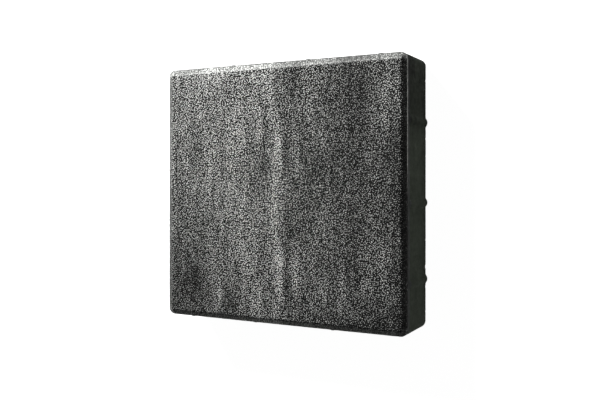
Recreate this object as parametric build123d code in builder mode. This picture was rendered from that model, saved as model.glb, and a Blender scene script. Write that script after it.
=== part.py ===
from build123d import *

import os
from math import atan2, degrees

# Square concrete paving block with a chamfered walking face and spacer nibs on its sides.
# Millimetres. The block lies flat, as it is laid: the origin is the centre of the bedding face,
# +Z points up out of the walking face, and +X and +Y are square to the sides.

# Block, measured without the nibs
SIDE = 300.0
THICKNESS = 70.0

# Rim of the walking face: a narrow ledge left along the mould wall, then the chamfer
LEDGE_WIDTH = 1.0
CHAMFER_WIDTH = 5.5
CHAMFER_DEPTH = 4.0
FACE_CORNER_RADIUS = 1.5
ARRIS_RADIUS = 3.5

# Spacer nibs: low round ribs that keep a sand joint open between neighbouring blocks
NIB_WIDTH = 9.5
NIB_HEIGHT = 2.0
NIB_TOP_GAP = 3.0

# Middle of each nib on the +X and the +Y side, measured from the middle of that side
NIBS_ALONG_Y = (79.0, -10.0, -95.0)
NIBS_ALONG_X = (-63.0, 33.0, 118.5)

# The corners of the walking face, the ledge and the upright sides have one centre
ledge_corner_radius = FACE_CORNER_RADIUS + CHAMFER_WIDTH
corner_radius = ledge_corner_radius + LEDGE_WIDTH
ledge_side = SIDE - 2 * LEDGE_WIDTH
ledge_level = THICKNESS - CHAMFER_DEPTH
chamfer_slope = degrees(atan2(CHAMFER_WIDTH, CHAMFER_DEPTH))

# A nib is the outer part of a round bar whose axis lies inside the block
nib_radius = (NIB_WIDTH**2 / 4 + NIB_HEIGHT**2) / (2 * NIB_HEIGHT)
nib_axis = SIDE / 2 + NIB_HEIGHT - nib_radius
nib_shoulder = ledge_level - NIB_TOP_GAP - NIB_WIDTH / 2

# Opposite sides carry the same nibs turned half round, so neighbours' nibs pass each other
nib_places = []
for place in NIBS_ALONG_Y:
    nib_places += [(nib_axis, place), (-nib_axis, -place)]
for place in NIBS_ALONG_X:
    nib_places += [(place, nib_axis), (-place, -nib_axis)]

# Round bar with a domed top end, standing on the bedding plane
with BuildPart() as nib:
    with BuildSketch(Plane.XZ):
        with BuildLine():
            foot = Line((0, 0), (nib_radius, 0))
            flank = Line(foot @ 1, (nib_radius, nib_shoulder))
            dome = RadiusArc(flank @ 1, (0, nib_shoulder + nib_radius), -nib_radius)
            Line(dome @ 1, foot @ 0)
        make_face()
    revolve(axis=Axis.Z)

with BuildPart() as paving_block:
    # Upright body, from the bedding face to the ledge
    with BuildSketch(Plane.XY):
        RectangleRounded(SIDE, SIDE, corner_radius)
    extrude(amount=ledge_level)

    # Chamfered rim, from the inner edge of the ledge to the walking face
    with BuildSketch(Plane.XY.offset(ledge_level)):
        RectangleRounded(ledge_side, ledge_side, ledge_corner_radius)
    extrude(amount=CHAMFER_DEPTH, taper=chamfer_slope)

    # Worn arris between the chamfer and the walking face
    walking_face = faces().sort_by(Axis.Z)[-1]
    fillet(walking_face.edges(), ARRIS_RADIUS)

    with Locations(*nib_places):
        add(nib.part)

paving_block.part.label = "paving_block"
os.makedirs("parts", exist_ok=True)
export_step(paving_block.part, "parts/paving_block.step")
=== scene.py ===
import math

import bpy
import numpy as np
from mathutils import Matrix, Vector, noise


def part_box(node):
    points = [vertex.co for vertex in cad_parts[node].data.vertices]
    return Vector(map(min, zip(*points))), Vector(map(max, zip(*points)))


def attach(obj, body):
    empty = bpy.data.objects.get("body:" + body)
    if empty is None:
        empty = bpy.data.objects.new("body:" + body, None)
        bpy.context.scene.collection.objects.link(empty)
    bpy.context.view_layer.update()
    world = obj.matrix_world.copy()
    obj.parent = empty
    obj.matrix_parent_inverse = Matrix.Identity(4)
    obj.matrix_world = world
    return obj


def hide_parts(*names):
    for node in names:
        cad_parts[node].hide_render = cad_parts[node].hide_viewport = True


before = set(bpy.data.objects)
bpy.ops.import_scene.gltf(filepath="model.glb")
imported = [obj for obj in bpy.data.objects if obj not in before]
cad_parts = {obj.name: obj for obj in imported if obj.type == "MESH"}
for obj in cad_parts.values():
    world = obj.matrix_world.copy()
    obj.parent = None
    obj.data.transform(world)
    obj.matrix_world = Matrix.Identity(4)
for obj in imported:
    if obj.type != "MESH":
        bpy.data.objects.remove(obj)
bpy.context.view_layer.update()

# Lengths are in millimetres until they go into the scene, which is in metres
MM = 0.001
NODE = "paving_block"
SIDES = 4
QUARTER_TURN = math.pi / 2

# Block, as the solid has it
NIB_HEIGHT = 2.0
NIB_WIDTH = 9.5
NIB_TOP_GAP = 3.0
NIBS_ALONG_Y = (79.0, -10.0, -95.0)
NIBS_ALONG_X = (-63.0, 33.0, 118.5)
LEDGE_WIDTH = 1.0
CHAMFER_WIDTH = 5.5
CHAMFER_DEPTH = 4.0
FACE_CORNER_RADIUS = 1.5
ARRIS_RADIUS = 3.5
low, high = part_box(NODE)
half_side = (high.x - low.x) / 2 / MM - NIB_HEIGHT
thickness = (high.z - low.z) / MM
corner_radius = FACE_CORNER_RADIUS + CHAMFER_WIDTH + LEDGE_WIDTH
corner_centre = half_side - corner_radius
ledge_level = thickness - CHAMFER_DEPTH

# Mesh fineness: cells along a side, round a corner and down the rim and the sides
SIDE_CELLS = 212
CORNER_CELLS = 8
ARRIS_CELLS = 4
CHAMFER_CELLS = 5
LEDGE_CELLS = 2
LEDGE_EDGE = 0.4
HEIGHT_CELLS = 35
CELLS_PER_UNDER_CELL = 4
under_cells = SIDE_CELLS // CELLS_PER_UNDER_CELL
quarter_cells = SIDE_CELLS + CORNER_CELLS
ring_cells = SIDES * quarter_cells

# Parts of the surface, which the relief and the colours tell apart
FACE, CHAMFER, LEDGE, SIDE, UNDER = range(5)
ZONES = {"chamfer": CHAMFER, "ledge": LEDGE, "side": SIDE, "under": UNDER}

# Relief in layers of (size of the lumps, height)
FACE_LUMPS = ((45.0, 0.25), (7.0, 0.22), (1.9, 0.34))
SIDE_LUMPS = ((60.0, 0.22), (9.0, 0.10), (2.2, 0.07))
# Pits of (size, rarity, depth), and grains lost along the rim of (size, depth)
FACE_PITS = (3.1, 0.48, 2.0)
SIDE_PITS = (4.2, 0.46, 2.2)
EDGE_CRUMBLE = (4.5, 0.18)
# Shifts that keep the pits and the lost grains apart from the lumps
PIT_SHIFT = Vector((31.7, 5.1, 12.3))
CRUMBLE_SHIFT = Vector((3.3, 8.8, 1.1))
# Upright scores on the sides
DRAG_WIDTH = 2.6
DRAG_LENGTH = 38.0
DRAG_DEPTH = 0.09
# Share of the face's relief that the rim has, and how far all but the underside is sunk
RIM_SHARE = 0.4
SURFACE_SINK = 0.12
SHARP_ANGLE = math.radians(35)

# The surface unrolled into a unit square: the face with two sides above it and two beside it
MAP_GAP = 0.01
MAP_FACE = 0.62
MAP_STRIP = 0.15
MAP_UNDER = 0.34
TOP_SHEET, UNDER_SHEET = 4, 5

# Grains of the face mix, in dark binder: their spacing and the spread of the logarithm of their colour
GRAIN_SIZE = 1.75
GRAIN_SPREAD = 0.75
# Distances from a grain's middle, in spacings, between which it sinks into the binder
GRAIN_CORE = 0.16
GRAIN_RIM = 0.32
BINDER_DEPTH = 4.0
# Share of the tone that sets the grains' width, which counts twice in the area that they cover
GRAIN_GROWTH = 0.30
tone_in_colour = 1.0 - 2.0 * GRAIN_GROWTH
COLOUR_CHANNELS = 3
FACE_TINT = (0.985, 1.0, 0.967)
FACE_LEVEL = 0.97
PALEST = 0.9

# Clouds of colour are (size of the lumps along each axis, detail, strength)
# Upright streaks of the face, which wobble, and fainter clouds over them, which don't
STREAKS = (
    ((9.0, 62.0, 9.0), 3.0, 2.1),
    ((3.2, 26.0, 3.2), 2.0, 1.7),
)
FACE_CLOUDS = (
    ((12.0, 16.0, 12.0), 3.0, 0.8),
    ((4.5, 6.0, 4.5), 1.0, 0.85),
)
WOBBLE_SIZE = (32.0, 44.0, 32.0)
WOBBLE = 11.0
NOISE_MIDDLE = 0.5

# Streaks and patches of the colour mix, some of them painted light and shade: (x, y, half width, half
# length, lean, strength)
TONE_AND_PAINTED_LIGHT_PATCHES = (
    # Broad tones, partly the mix's own and partly painted light and shade: paler left half and back,
    # darker right half, painted shade in the corners and along the rim
    (-75, 144, 100, 24, 0, 0.75),
    (-70, 60, 110, 260, 0, 0.45),
    (90, 60, 95, 330, 0, -0.78),
    (-135, -130, 90, 165, 0, -1.10),
    (85, -165, 200, 65, 0, -0.70),
    (152, -30, 28, 210, 0, -1.50),
    # Long pale vein down the middle
    (-11, 122, 11, 50, 6, 0.80),
    (-3, 66, 10, 55, 5, 0.70),
    (0, 8, 10, 65, 1, 0.75),
    (0, -55, 11, 55, 0, 0.80),
    (1, -108, 10, 55, -2, 0.85),
    # Dark vein beside it
    (19, 126, 16, 30, 0, -0.75),
    (9, 92, 8, 32, 4, -0.75),
    (12, 42, 8, 36, 4, -1.05),
    (12, -42, 8, 38, 0, -0.55),
    (13, -90, 8, 48, 2, -1.0),
    # Pale streaks right of the veins
    (20, 43, 7, 28, 9, 0.45),
    (21, -90, 10, 40, 8, 0.80),
    (42, 97, 16, 55, 0, 0.60),
    (50, -53, 11, 32, 0, 0.32),
    (54, -110, 9, 20, 0, 0.70),
    (77, -64, 7, 28, 0, 0.45),
    (80, -108, 9, 30, 0, 0.95),
    (105, -104, 9, 20, 0, 0.65),
    (126, 115, 22, 78, 0, 0.65),
    (121, -62, 11, 44, 3, 0.75),
    (131, -108, 9, 22, 0, 0.55),
    (62, 142, 18, 22, 0, 0.35),
    (139, -65, 12, 30, 0, 0.35),
    # Pale streaks left of the veins
    (-15, -142, 32, 24, 0, 0.50),
    (-35, 98, 24, 48, 0, 0.58),
    (-33, -75, 22, 75, 0, 0.30),
    (-29, -126, 9, 30, -3, 0.50),
    (-60, 45, 10, 42, 4, 0.38),
    (-104, 128, 22, 30, 0, 0.30),
    (-91, -84, 14, 34, 6, 0.70),
    (-80, -118, 11, 36, 5, 0.75),
    # Dark patches
    (128, -138, 44, 42, 0, -0.75),
    (94, 122, 26, 60, 0, -0.55),
    (92, 35, 15, 56, 0, -0.55),
    (92, -62, 13, 64, 0, -0.60),
    (130, 40, 30, 46, 0, -0.35),
    (55, 38, 30, 32, 0, -0.25),
    (-21, 38, 13, 34, 0, -0.60),
    (-20, -85, 9, 30, 0, -0.42),
    (-112, 55, 16, 42, 0, -0.45),
    (-108, -97, 17, 46, 4, -0.85),
    (-61, -130, 14, 32, 0, -0.95),
    (-124, -112, 24, 34, 0, -0.45),
)

# Chamfer: painted shade on the right, and then painted light on the other sides
CHAMFER_PAINTED_SHADE = 0.18
BACK_CHAMFER_PAINTED_LIGHT = 0.72
FRONT_CHAMFER_PAINTED_LIGHT = 1.6
LEFT_CHAMFER_PAINTED_LIGHT = 0.55
# Distances in from the edge at which a side's own painted level begins and is reached
RIM_BEGIN = 12.0
RIM_FULL = 2.0
# Shares of the grains and of the tone that show on the rim, which has painted shade towards the left
RIM_GRAINS = 0.4
RIM_TONE = 0.25
RIM_SHADE_PLACE = -140.0
RIM_SHADE_END_PLACE = -20.0
RIM_SHADE_LEVEL = 0.76
# Back arris: painted light along a ragged line so far in from the edge, where the rounded arris catches
# the lamp
ARRIS_LIGHT_LEVEL = 1.0
ARRIS_LIGHT_BEGIN = 8.2
ARRIS_LIGHT_FULL = 6.8
ARRIS_LIGHT_CLOUD = ((5.0, 5.0, 5.0), 3.0, 3.0)

# Ledge: gritty, with a painted highlight towards the back and dark towards the front
LEDGE_TINT = (0.24, 0.24, 0.23)
LEDGE_GRIT = ((2.6, 2.6, 2.6), 3.0, 2.4)
LEDGE_CLOUD = ((14.0, 14.0, 14.0), 3.0, 60.0)
LEDGE_DARK_PLACE = -10.0
LEDGE_HIGHLIGHT_PLACE = 40.0
LEDGE_DARK_LEVEL = 0.05
LEDGE_HIGHLIGHT_LEVEL = 0.7

# Sides: plain greenish grey body, with a ragged strip of the face mix along the top
BODY_TINT = (0.87, 1.0, 0.79, 1.0)
BODY_LEVEL = 0.165
SIDE_CLOUDS = (
    ((38.0, 38.0, 24.0), 4.0, 1.1),
    ((4.0, 4.0, 46.0), 2.0, 0.35),
    ((2.4, 2.4, 1.8), 2.0, 0.6),
)
STRIP_TINT = (1.24, 1.31, 1.27, 1.0)
STRIP_HEIGHT = 7.0
STRIP_BLUR = 1.0
STRIP_CLOUD = ((9.0, 9.0, 9.0), 3.0, 4.0)
# Painted shade at the back of the right side, darker still where it stains, and all sides paler towards
# the foot and darker towards the ledge
RIGHT_SHADE_BEGIN = 50.0
RIGHT_SHADE_FULL = 105.0
RIGHT_SHADE_DEPTH = 1.35
STAIN_SIZE = (16.0, 34.0, 14.0)
STAIN_DETAIL = 2.0
STAIN_BEGIN = 0.52
STAIN_FULL = 0.68
STAIN_DEPTH = 0.9
SIDE_FOOT_SHIFT = 0.35
SIDE_LEDGE_SHIFT = -0.3

# Underside: mottled and gritty
UNDER_TINT = (0.17, 0.172, 0.155)
UNDER_CLOUDS = (
    ((14.0, 14.0, 14.0), 6.0, 1.2),
    ((2.0, 2.0, 2.0), 2.0, 0.9),
)

# Grit that is too fine for the mesh, and the polish of the concrete
GRIT_SIZE = 1.15
GRIT_SHARE = -0.6
FINE_GRIT_SIZE = (0.8, 0.8, 0.8)
FINE_GRIT_DETAIL = 3.0
GRIT_HEIGHT = 0.35
FACE_GRIT = 0.55
SIDE_GRIT = 0.35
POLISH_SIZE = (6.0, 6.0, 6.0)
POLISH_DETAIL = 4.0
POLISH_BEGIN = 0.3
POLISH_FULL = 0.7
LEAST_ROUGH = 0.8
MOST_ROUGH = 0.97
SPECULAR = 0.06

# Floor, room and lamp, in metres and watts
FLOOR_HALF = 20.0
FLOOR_COLOUR = (0.5, 0.5, 0.5, 1.0)
FLOOR_WHITE = 0.97
ROOM_COLOUR = (1.0, 1.0, 1.0, 1.0)
SKY_LIGHT = 0.05
KEY_PLACE = Vector((-0.70, 0.98, 0.78))
KEY_POWER = 38.0
KEY_SIZE = 0.35

# Camera: its place, the direction it looks in, and how far the picture is moved, in pixels
CAMERA_PLACE = Vector((400.38, 15.16, 885.66))
CAMERA_LOOK = Vector((-0.51074, -0.00249, -0.85973))
CAMERA_UP = Vector((0, 1, 0))
SENSOR_WIDTH = 36.0
LENS = 47.773
IMAGE_WIDTH_PX = 600
SHIFT_X_PX = 86.5
SHIFT_Y_PX = -18.1
CLIP_START = 0.01
CLIP_END = 100.0

# Sockets of the Mix node, by number because numbers and colours share their names
MIX_SHARE = 0
NUMBER_A, NUMBER_B = 2, 3
COLOUR_A, COLOUR_B = 6, 7
COLOUR_RESULT = 2


def rim_profile():
    """(reach, height, part) of each row from the walking face to the bedding face.

    Reach is the distance outside the square through the corners' centres."""
    slope = math.atan2(CHAMFER_DEPTH, CHAMFER_WIDTH)
    start = FACE_CORNER_RADIUS - ARRIS_RADIUS * math.tan(slope / 2)
    rows = []
    for step in range(ARRIS_CELLS + 1):
        turn = slope * step / ARRIS_CELLS
        drop = ARRIS_RADIUS * (1 - math.cos(turn))
        rows.append((start + ARRIS_RADIUS * math.sin(turn), thickness - drop, FACE))
    runs = (
        (corner_radius - LEDGE_WIDTH, ledge_level, CHAMFER_CELLS, CHAMFER),
        (corner_radius, ledge_level, LEDGE_CELLS, LEDGE),
        (corner_radius, ledge_level - LEDGE_EDGE, 1, SIDE),
        (corner_radius, 0.0, HEIGHT_CELLS, SIDE),
    )
    for end_reach, end_height, cells, part in runs:
        begin_reach, begin_height, _ = rows[-1]
        for step in range(1, cells + 1):
            share = step / cells
            reach = begin_reach + (end_reach - begin_reach) * share
            height = begin_height + (end_height - begin_height) * share
            rows.append((reach, height, part))
    return rows


def nib_bulge(along, height, side):
    """How far the nibs stand out of a side at a place along it, measured anticlockwise."""
    radius = (NIB_WIDTH**2 / 4 + NIB_HEIGHT**2) / (2 * NIB_HEIGHT)
    shoulder = ledge_level - NIB_TOP_GAP - NIB_WIDTH / 2
    places = NIBS_ALONG_Y if side % 2 == 0 else [-place for place in NIBS_ALONG_X]
    bulge = 0.0
    for place in places:
        off_axis = (along - place) ** 2 + max(0.0, height - shoulder) ** 2
        if off_axis < radius**2:
            bulge = max(bulge, math.sqrt(radius**2 - off_axis) - radius + NIB_HEIGHT)
    return bulge


def columns():
    """Once round the block: (side, place along it, foot x and y, outward x and y)."""
    found = []
    for side in range(SIDES):
        quarter = side * QUARTER_TURN
        out = (math.cos(quarter), math.sin(quarter))
        tangent = (-out[1], out[0])
        for step in range(SIDE_CELLS + 1):
            along = corner_centre * (2 * step / SIDE_CELLS - 1)
            foot_x = corner_centre * out[0] + along * tangent[0]
            foot_y = corner_centre * out[1] + along * tangent[1]
            found.append((side, along, foot_x, foot_y, *out))
        # The last foot of a side is the centre of the corner after it
        for step in range(1, CORNER_CELLS):
            turn = quarter + QUARTER_TURN * step / CORNER_CELLS
            found.append((side, corner_centre, foot_x, foot_y, math.cos(turn), math.sin(turn)))
    return found


def grid_rim(cells):
    """Indices of a square grid's rim, anticlockwise from its +X, -Y corner, a list for each side."""
    across = cells + 1
    steps = range(across)
    right = [step * across + cells for step in steps]
    back = [cells * across + cells - step for step in steps]
    left = [(cells - step) * across for step in steps]
    front = list(steps)
    return [right, back, left, front]


def grid_points(cells, height):
    """Points of a level square grid between the corners' centres."""
    line = np.linspace(-corner_centre, corner_centre, cells + 1)
    return [(x, y, height) for y in line for x in line]


def grid_faces(cells, start, upward):
    """Faces of a square grid whose points begin at an index."""
    faces = []
    across = cells + 1
    for row in range(cells):
        for step in range(cells):
            first = start + row * across + step
            face = [first, first + 1, first + across + 1, first + across]
            faces.append(face if upward else face[::-1])
    return faces


def seams(rim, grid_start, ring_start, ratio, upward):
    """Faces between a grid's rim and a ring of columns, of which ratio meet each grid cell."""
    faces = []
    for side, indices in enumerate(rim):
        first = side * quarter_cells
        for cell in range(len(indices) - 1):
            begin = first + cell * ratio
            outer = [ring_start + begin + step for step in range(ratio + 1)]
            faces.append(outer + [grid_start + indices[cell + 1], grid_start + indices[cell]])
        corner = grid_start + indices[-1]
        for step in range(CORNER_CELLS):
            begin = first + SIDE_CELLS + step
            faces.append([ring_start + begin, ring_start + (begin + 1) % ring_cells, corner])
    return faces if upward else [face[::-1] for face in faces]


def block_surface():
    """The whole block as one closed surface: points, each point's part, faces, each face's sheet."""
    ring = columns()
    profile = rim_profile()
    points = grid_points(SIDE_CELLS, thickness)
    parts = [FACE] * len(points)
    faces = grid_faces(SIDE_CELLS, 0, True)
    rows_start = len(points)
    for reach, height, part in profile:
        for side, along, foot_x, foot_y, out_x, out_y in ring:
            out = reach
            if height < ledge_level:
                out += nib_bulge(along, height, side)
            points.append((foot_x + out * out_x, foot_y + out * out_y, height))
            parts.append(part)
    faces += seams(grid_rim(SIDE_CELLS), 0, rows_start, 1, True)
    sheets = [TOP_SHEET] * len(faces)
    for row, (_, _, part) in enumerate(profile[1:]):
        upper = rows_start + row * ring_cells
        lower = upper + ring_cells
        for step in range(ring_cells):
            after = (step + 1) % ring_cells
            faces.append([upper + after, upper + step, lower + step, lower + after])
            sheets.append(step // quarter_cells if part == SIDE else TOP_SHEET)
    under_start = len(points)
    under_points = grid_points(under_cells, 0.0)
    points += under_points
    parts += [UNDER] * len(under_points)
    faces += grid_faces(under_cells, under_start, False)
    bottom_row = under_start - ring_cells
    faces += seams(grid_rim(under_cells), under_start, bottom_row, CELLS_PER_UNDER_CELL, False)
    sheets += [UNDER_SHEET] * (len(faces) - len(sheets))
    return points, parts, faces, sheets


def lumps(point, layers):
    """Height of layered noise at a point."""
    return sum(height * noise.noise(point / size) for size, height in layers)


def pits(point, kind):
    """Depth of scattered pits at a point, none over most of the surface."""
    size, rarity, depth = kind
    return depth * max(0.0, noise.noise(point / size + PIT_SHIFT) - rarity)


def drag_marks(point):
    """Upright scores that the mould wall leaves on the sides."""
    round_block = half_side * math.atan2(point.y, point.x)
    return DRAG_DEPTH * noise.noise(Vector((round_block / DRAG_WIDTH, point.z / DRAG_LENGTH, 0.0)))


def crumble(point):
    """Grains lost along the rim."""
    size, depth = EDGE_CRUMBLE
    return depth * max(0.0, noise.noise(point / size + CRUMBLE_SHIFT))


def relief(point, part):
    """How far the pressed surface stands out of the plain shape at a point."""
    if part == UNDER:
        return -abs(lumps(point, SIDE_LUMPS)) - pits(point, SIDE_PITS)
    if part == SIDE:
        out = lumps(point, SIDE_LUMPS) + drag_marks(point) - pits(point, SIDE_PITS)
    else:
        out = lumps(point, FACE_LUMPS) - pits(point, FACE_PITS)
    if part in (CHAMFER, LEDGE):
        out = RIM_SHARE * out - crumble(point)
    return out - SURFACE_SINK


def roughen(mesh, parts):
    """Moves each point along its normal by the relief, with the foot of the sides kept on the bed."""
    normals = [point.normal.copy() for point in mesh.vertices]
    for point, normal, part in zip(mesh.vertices, normals, parts):
        place = point.co / MM
        if part == SIDE:
            normal.z = 0.0
        point.co = (place + normal * relief(place, part)) * MM


def mark_zones(mesh, parts):
    """Shares of each part of the surface, for the material."""
    for name, part in ZONES.items():
        layer = mesh.attributes.new(name, "FLOAT", "POINT")
        layer.data.foreach_set("value", [float(found == part) for found in parts])


def unroll(mesh, sheets):
    """Lays the surface out flat, each sheet at the same scale but the underside smaller."""
    corners = np.array([mesh.vertices[loop.vertex_index].co for loop in mesh.loops]) / MM
    kinds = np.repeat(sheets, [face.loop_total for face in mesh.polygons])
    spots = np.empty((len(corners), 2))
    scale = MAP_FACE / (2 * half_side)
    beyond = MAP_FACE + 2 * MAP_GAP
    level = corners[:, :2] + half_side
    spots[kinds == TOP_SHEET] = level[kinds == TOP_SHEET] * scale + MAP_GAP
    under = kinds == UNDER_SHEET
    spots[under] = level[under] * MAP_UNDER / (2 * half_side) + beyond
    for side in range(SIDES):
        chosen = corners[kinds == side]
        turn = side * QUARTER_TURN
        out = chosen[:, 0] * math.cos(turn) + chosen[:, 1] * math.sin(turn)
        along = chosen[:, 1] * math.cos(turn) - chosen[:, 0] * math.sin(turn)
        bend = np.arctan2(along - corner_centre, out - corner_centre)
        round_corner = corner_centre + corner_radius * bend
        along = np.where(along > corner_centre, round_corner, along)
        length = (along + half_side) * scale + MAP_GAP
        height = chosen[:, 2] * scale + beyond + (side % 2) * MAP_STRIP
        # The first two sides lie above the face, the other two beside it
        strip = (length, height) if side < 2 else (height, length)
        spots[kinds == side] = np.stack(strip, axis=1)
    layer = mesh.uv_layers.new(name="OFBake")
    layer.data.foreach_set("uv", spots.ravel())


def pressed_block():
    """The block with its relief, as one mesh."""
    points, parts, faces, sheets = block_surface()
    mesh = bpy.data.meshes.new("pressed_block")
    mesh.from_pydata([Vector(point) * MM for point in points], [], faces)
    roughen(mesh, parts)
    mark_zones(mesh, parts)
    unroll(mesh, sheets)
    mesh.shade_smooth()
    mesh.set_sharp_from_angle(angle=SHARP_ANGLE)
    made = bpy.data.objects.new("pressed_block", mesh)
    bpy.context.scene.collection.objects.link(made)
    return made


class Nodes:
    """Adds nodes to a tree. Each call gives back the socket that carries its result."""

    def __init__(self, tree):
        self.tree = tree

    def add(self, kind, inputs=None, output=0, **settings):
        """A node of a kind, with its inputs filled and its settings made."""
        made = self.tree.nodes.new("ShaderNode" + kind)
        for name, value in settings.items():
            setattr(made, name, value)
        for key, value in (inputs or {}).items():
            self.fill(made.inputs[key], value)
        return made.outputs[output]

    def fill(self, socket, value):
        """Links another node's result to a socket, or sets the socket's own value."""
        if isinstance(value, bpy.types.NodeSocket):
            self.tree.links.new(value, socket)
        else:
            socket.default_value = value

    def maths(self, operation, *values):
        return self.add("Math", dict(enumerate(values)), operation=operation)

    def vector(self, operation, *values):
        return self.add("VectorMath", dict(enumerate(values)), operation=operation)

    def mix_numbers(self, share, first, second):
        return self.add("Mix", {MIX_SHARE: share, NUMBER_A: first, NUMBER_B: second})

    def mix_colours(self, share, first, second):
        inputs = {MIX_SHARE: share, COLOUR_A: first, COLOUR_B: second}
        return self.add("Mix", inputs, COLOUR_RESULT, data_type="RGBA")

    def scaled(self, vector, factor):
        return self.add("VectorMath", {0: vector, "Scale": factor}, operation="SCALE")

    def noise(self, place, size, detail):
        """Cloudy noise, from 0 to 1, with lumps of a size along each axis."""
        spread = self.vector("DIVIDE", place, size)
        return self.add("TexNoise", {"Vector": spread, "Scale": 1.0, "Detail": detail})

    def cloud(self, place, size, detail, strength):
        """Cloudy noise as a swing about nought."""
        found = self.noise(place, size, detail)
        return self.maths("MULTIPLY_ADD", found, strength, -NOISE_MIDDLE * strength)

    def ramp(self, value, start, end, low_value=0.0, high_value=1.0):
        """Smooth step from one value to another, between two values of what drives it."""
        limits = {
            "Value": value,
            "From Min": start,
            "From Max": end,
            "To Min": low_value,
            "To Max": high_value,
        }
        return self.add("MapRange", limits, interpolation_type="SMOOTHSTEP")

    def attribute(self, name):
        return self.add("Attribute", output="Fac", attribute_name=name)

    def total(self, *values):
        found = values[0]
        for value in values[1:]:
            found = self.maths("ADD", found, value)
        return found


def speckle(nodes, place, tone):
    """Sand grains in dark binder, larger where the tone is paler, painted light included: the logarithm
    of their colour.
    """
    spots = {"Vector": place, "Scale": 1 / GRAIN_SIZE}
    colour = nodes.add("TexVoronoi", spots, "Color", voronoi_dimensions="2D")
    growth = nodes.maths("EXPONENT", nodes.maths("MULTIPLY", tone, GRAIN_GROWTH))
    distance = nodes.maths("DIVIDE", colour.node.outputs["Distance"], growth)
    weights = (2 * GRAIN_SPREAD,) * COLOUR_CHANNELS
    grain = nodes.add("VectorMath", {0: colour, 1: weights}, "Value", operation="DOT_PRODUCT")
    grain = nodes.maths("SUBTRACT", grain, COLOUR_CHANNELS * GRAIN_SPREAD)
    binder = nodes.ramp(distance, GRAIN_CORE, GRAIN_RIM, 0.0, -BINDER_DEPTH)
    return nodes.total(grain, binder)


def mix_tone_and_painted_light(nodes, place):
    """Streaks of paler and darker mix across the face, under broad painted light and shade: the logarithm
    of their colour.
    """
    spread = nodes.vector("DIVIDE", place, WOBBLE_SIZE)
    drift = nodes.add("TexNoise", {"Vector": spread, "Scale": 1.0}, "Color")
    drift = nodes.vector("SUBTRACT", drift, (NOISE_MIDDLE,) * COLOUR_CHANNELS)
    moved = nodes.vector("ADD", place, nodes.scaled(drift, WOBBLE))
    layers = [nodes.cloud(moved, *streak) for streak in STREAKS]
    layers += [nodes.cloud(place, *cloud) for cloud in FACE_CLOUDS]
    # Some patches are painted light and shade: the broad tones, the darker corners and the darker right
    # rim
    for x, y, half_width, half_length, lean, strength in TONE_AND_PAINTED_LIGHT_PATCHES:
        shape = {
            "Vector": moved,
            "Location": (x, y, thickness),
            "Rotation": (0.0, 0.0, math.radians(lean)),
            "Scale": (half_width, half_length, half_side),
        }
        inside = nodes.add("Mapping", shape, vector_type="TEXTURE")
        blob = nodes.add("TexGradient", {"Vector": inside}, "Fac", gradient_type="SPHERICAL")
        layers.append(nodes.maths("MULTIPLY", blob, strength))
    return nodes.total(*layers)


def rim_painted_light(nodes, across, along):
    """Painted light and shade on the chamfer: palest on the front and the back, paler on the left than on
    the right.
    """
    layers = [CHAMFER_PAINTED_SHADE]
    for place, sign, level in (
        (along, 1.0, BACK_CHAMFER_PAINTED_LIGHT),
        (along, -1.0, FRONT_CHAMFER_PAINTED_LIGHT),
        (across, -1.0, LEFT_CHAMFER_PAINTED_LIGHT),
    ):
        outward = nodes.maths("MULTIPLY", place, sign)
        begin = half_side - RIM_BEGIN
        full = half_side - RIM_FULL
        layers.append(nodes.ramp(outward, begin, full, 0.0, level - CHAMFER_PAINTED_SHADE))
    return nodes.total(*layers)


def arris_light_share(nodes, place, along):
    """1 along the back arris, where light is painted on it, else 0."""
    ragged = nodes.maths("ADD", along, nodes.cloud(place, *ARRIS_LIGHT_CLOUD))
    return nodes.ramp(ragged, half_side - ARRIS_LIGHT_BEGIN, half_side - ARRIS_LIGHT_FULL)


def face_colour(nodes, place):
    """Face mix: grains and streaks, softer on the chamfer and along the back arris, which carry painted
    light and shade.
    """
    tone = mix_tone_and_painted_light(nodes, place)
    grains = speckle(nodes, place, tone)
    face_power = nodes.maths("MULTIPLY_ADD", tone, tone_in_colour, grains)
    face_level = nodes.maths("MULTIPLY", nodes.maths("EXPONENT", face_power), FACE_LEVEL)
    rim_tone = nodes.maths("MULTIPLY", tone, RIM_TONE)
    rim_power = nodes.maths("MULTIPLY_ADD", grains, RIM_GRAINS, rim_tone)
    across, along, _ = nodes.add("SeparateXYZ", {0: place}).node.outputs
    # Painted shade on the rim towards the left
    rim_shade = nodes.ramp(across, RIM_SHADE_PLACE, RIM_SHADE_END_PLACE, RIM_SHADE_LEVEL, 1.0)
    rim_grains_with_painted_shade = nodes.maths("MULTIPLY", nodes.maths("EXPONENT", rim_power), rim_shade)
    # Painted light along the back arris
    arris_light_level = nodes.maths("MULTIPLY", rim_grains_with_painted_shade, ARRIS_LIGHT_LEVEL)
    # Painted light and shade on the chamfer, a level for each side
    rim_painted_level = nodes.maths("MULTIPLY", rim_grains_with_painted_shade, rim_painted_light(nodes, across, along))
    level = nodes.mix_numbers(arris_light_share(nodes, place, along), face_level, arris_light_level)
    level = nodes.mix_numbers(nodes.attribute("chamfer"), level, rim_painted_level)
    return nodes.scaled(FACE_TINT, nodes.maths("MINIMUM", level, PALEST))


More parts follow.
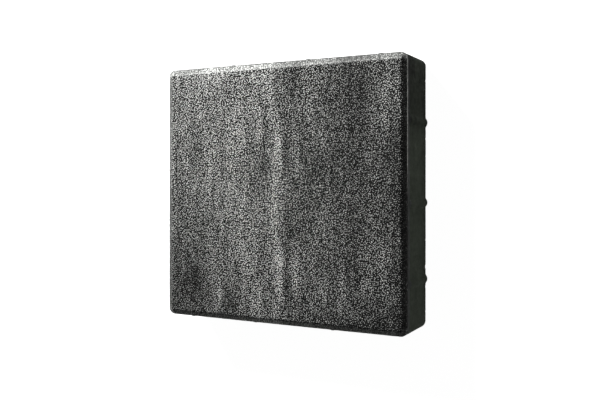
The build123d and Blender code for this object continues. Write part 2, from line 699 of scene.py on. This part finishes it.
def side_colour(nodes, place):
    """Plain body, paler at the foot and darker under the ledge, with painted shade and a stain at the
    back of the right side, under a strip of the face mix.
    """
    across, along, height = nodes.add("SeparateXYZ", {0: place}).node.outputs
    layers = [nodes.cloud(place, *cloud) for cloud in SIDE_CLOUDS]
    stain = nodes.ramp(nodes.noise(place, STAIN_SIZE, STAIN_DETAIL), STAIN_BEGIN, STAIN_FULL)
    on_right = nodes.ramp(across, corner_centre, half_side)
    # Painted shade over the back of the right side, deeper where it stains
    right_shade = nodes.maths("MULTIPLY", on_right, nodes.ramp(along, RIGHT_SHADE_BEGIN, RIGHT_SHADE_FULL))
    shade_and_stain = nodes.maths("MULTIPLY_ADD", stain, -STAIN_DEPTH, -RIGHT_SHADE_DEPTH)
    shaded_and_stained = nodes.maths("MULTIPLY", right_shade, shade_and_stain)
    # Paler towards the foot of the sides and darker towards the ledge
    foot_to_ledge = nodes.ramp(height, 0.0, ledge_level, SIDE_FOOT_SHIFT, SIDE_LEDGE_SHIFT)
    power = nodes.total(*layers, shaded_and_stained, foot_to_ledge)
    level = nodes.maths("MULTIPLY", nodes.maths("EXPONENT", power), BODY_LEVEL)
    seam = nodes.maths("ADD", height, nodes.cloud(place, *STRIP_CLOUD))
    strip_foot = ledge_level - STRIP_HEIGHT
    strip = nodes.ramp(seam, strip_foot - STRIP_BLUR, strip_foot + STRIP_BLUR)
    return nodes.scaled(nodes.mix_colours(strip, BODY_TINT, STRIP_TINT), level)


def under_colour(nodes, place):
    """Plain body, mottled by the board it was pressed on."""
    layers = [nodes.cloud(place, *cloud) for cloud in UNDER_CLOUDS]
    return nodes.scaled(UNDER_TINT, nodes.maths("EXPONENT", nodes.total(*layers)))


def ledge_colour(nodes, place):
    """Gritty ledge, with a painted highlight towards the back."""
    grit = nodes.maths("EXPONENT", nodes.cloud(place, *LEDGE_GRIT))
    along = nodes.add("SeparateXYZ", {0: place}, "Y")
    # Painted highlight on the ledge towards the back
    ledge_highlight = nodes.maths("ADD", along, nodes.cloud(place, *LEDGE_CLOUD))
    level = nodes.ramp(ledge_highlight, LEDGE_DARK_PLACE, LEDGE_HIGHLIGHT_PLACE, LEDGE_DARK_LEVEL, LEDGE_HIGHLIGHT_LEVEL)
    return nodes.scaled(LEDGE_TINT, nodes.maths("MULTIPLY", grit, level))


def grit_bump(nodes, place, side):
    """Fine grit, stronger on the face than on the moulded sides."""
    coarse = nodes.add("TexVoronoi", {"Vector": place, "Scale": 1 / GRIT_SIZE}, "Distance")
    fine = nodes.noise(place, FINE_GRIT_SIZE, FINE_GRIT_DETAIL)
    height = nodes.maths("MULTIPLY_ADD", coarse, GRIT_SHARE, fine)
    strength = nodes.ramp(side, 0.0, 1.0, FACE_GRIT, SIDE_GRIT)
    return nodes.add("Bump", {"Strength": strength, "Distance": GRIT_HEIGHT * MM, "Height": height})


def concrete():
    """Pressed concrete: speckled, streaky face mix over a plain greenish grey body."""
    material = bpy.data.materials.new("concrete")
    material.use_nodes = True
    nodes = Nodes(material.node_tree)
    place = nodes.scaled(nodes.add("TexCoord", output="Object"), 1 / MM)
    side = nodes.attribute("side")
    colour = face_colour(nodes, place)
    colour = nodes.mix_colours(nodes.attribute("ledge"), colour, ledge_colour(nodes, place))
    colour = nodes.mix_colours(side, colour, side_colour(nodes, place))
    colour = nodes.mix_colours(nodes.attribute("under"), colour, under_colour(nodes, place))
    shader = material.node_tree.nodes["Principled BSDF"]
    nodes.fill(shader.inputs["Base Color"], colour)
    polish = nodes.noise(place, POLISH_SIZE, POLISH_DETAIL)
    roughness = nodes.ramp(polish, POLISH_BEGIN, POLISH_FULL, LEAST_ROUGH, MOST_ROUGH)
    nodes.fill(shader.inputs["Roughness"], roughness)
    nodes.fill(shader.inputs["Normal"], grit_bump(nodes, place, side))
    shader.inputs["Specular IOR Level"].default_value = SPECULAR
    return material


def seen(nodes):
    """1 for what the camera sees, straight or in a reflection or through glass, else 0."""
    path = nodes.add("LightPath").node
    reflected = nodes.maths("MAXIMUM", path.outputs["Is Glossy Ray"], path.outputs["Is Transmission Ray"])
    return nodes.maths("MAXIMUM", path.outputs["Is Camera Ray"], reflected)


def floor():
    """Plain pale floor that stays white behind the block and keeps its shadow."""
    ends = (-FLOOR_HALF, FLOOR_HALF)
    corners = [(x, y, 0.0) for y in ends for x in ends]
    mesh = bpy.data.meshes.new("floor")
    mesh.from_pydata(corners, [], [(0, 1, 3, 2)])
    material = bpy.data.materials.new("floor")
    material.use_nodes = True
    material.node_tree.nodes.clear()
    nodes = Nodes(material.node_tree)
    matt = nodes.add("BsdfDiffuse", {"Color": FLOOR_COLOUR})
    glow = nodes.add("Emission", {"Strength": nodes.maths("MULTIPLY", seen(nodes), FLOOR_WHITE)})
    surface = nodes.add("AddShader", {0: matt, 1: glow})
    output = material.node_tree.nodes.new("ShaderNodeOutputMaterial")
    nodes.fill(output.inputs["Surface"], surface)
    mesh.materials.append(material)
    made = bpy.data.objects.new("floor", mesh)
    bpy.context.scene.collection.objects.link(made)


def studio_light():
    """One soft lamp up to the left, and a dim room that the camera sees as white."""
    data = bpy.data.lights.new("key", "AREA")
    data.energy = KEY_POWER
    data.size = KEY_SIZE
    lamp = bpy.data.objects.new("key", data)
    lamp.location = KEY_PLACE
    aim = Vector((0.0, 0.0, high.z)) - KEY_PLACE
    lamp.rotation_euler = aim.to_track_quat("-Z", "Y").to_euler()
    bpy.context.scene.collection.objects.link(lamp)
    world = bpy.data.worlds.new("studio")
    world.use_nodes = True
    nodes = Nodes(world.node_tree)
    backdrop = world.node_tree.nodes["Background"]
    backdrop.inputs["Color"].default_value = ROOM_COLOUR
    strength = nodes.maths("MULTIPLY_ADD", seen(nodes), 1.0 - SKY_LIGHT, SKY_LIGHT)
    nodes.fill(backdrop.inputs["Strength"], strength)
    bpy.context.scene.world = world


def camera():
    """At the photograph's viewing angle: looks down on the walking face from its right."""
    look = CAMERA_LOOK.normalized()
    right = look.cross(CAMERA_UP).normalized()
    up = right.cross(look)
    data = bpy.data.cameras.new("camera")
    data.sensor_width = SENSOR_WIDTH
    data.lens = LENS
    data.shift_x = SHIFT_X_PX / IMAGE_WIDTH_PX
    data.shift_y = SHIFT_Y_PX / IMAGE_WIDTH_PX
    data.clip_start = CLIP_START
    data.clip_end = CLIP_END
    made = bpy.data.objects.new("camera", data)
    turn = Matrix((right, up, -look)).transposed().to_4x4()
    made.matrix_world = Matrix.Translation(CAMERA_PLACE * MM) @ turn
    bpy.context.scene.collection.objects.link(made)
    bpy.context.scene.camera = made


block = pressed_block()
block.data.materials.append(concrete())
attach(block, "root")
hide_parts(NODE)
floor()
studio_light()
camera()
bpy.context.scene.view_settings.view_transform = "Standard"
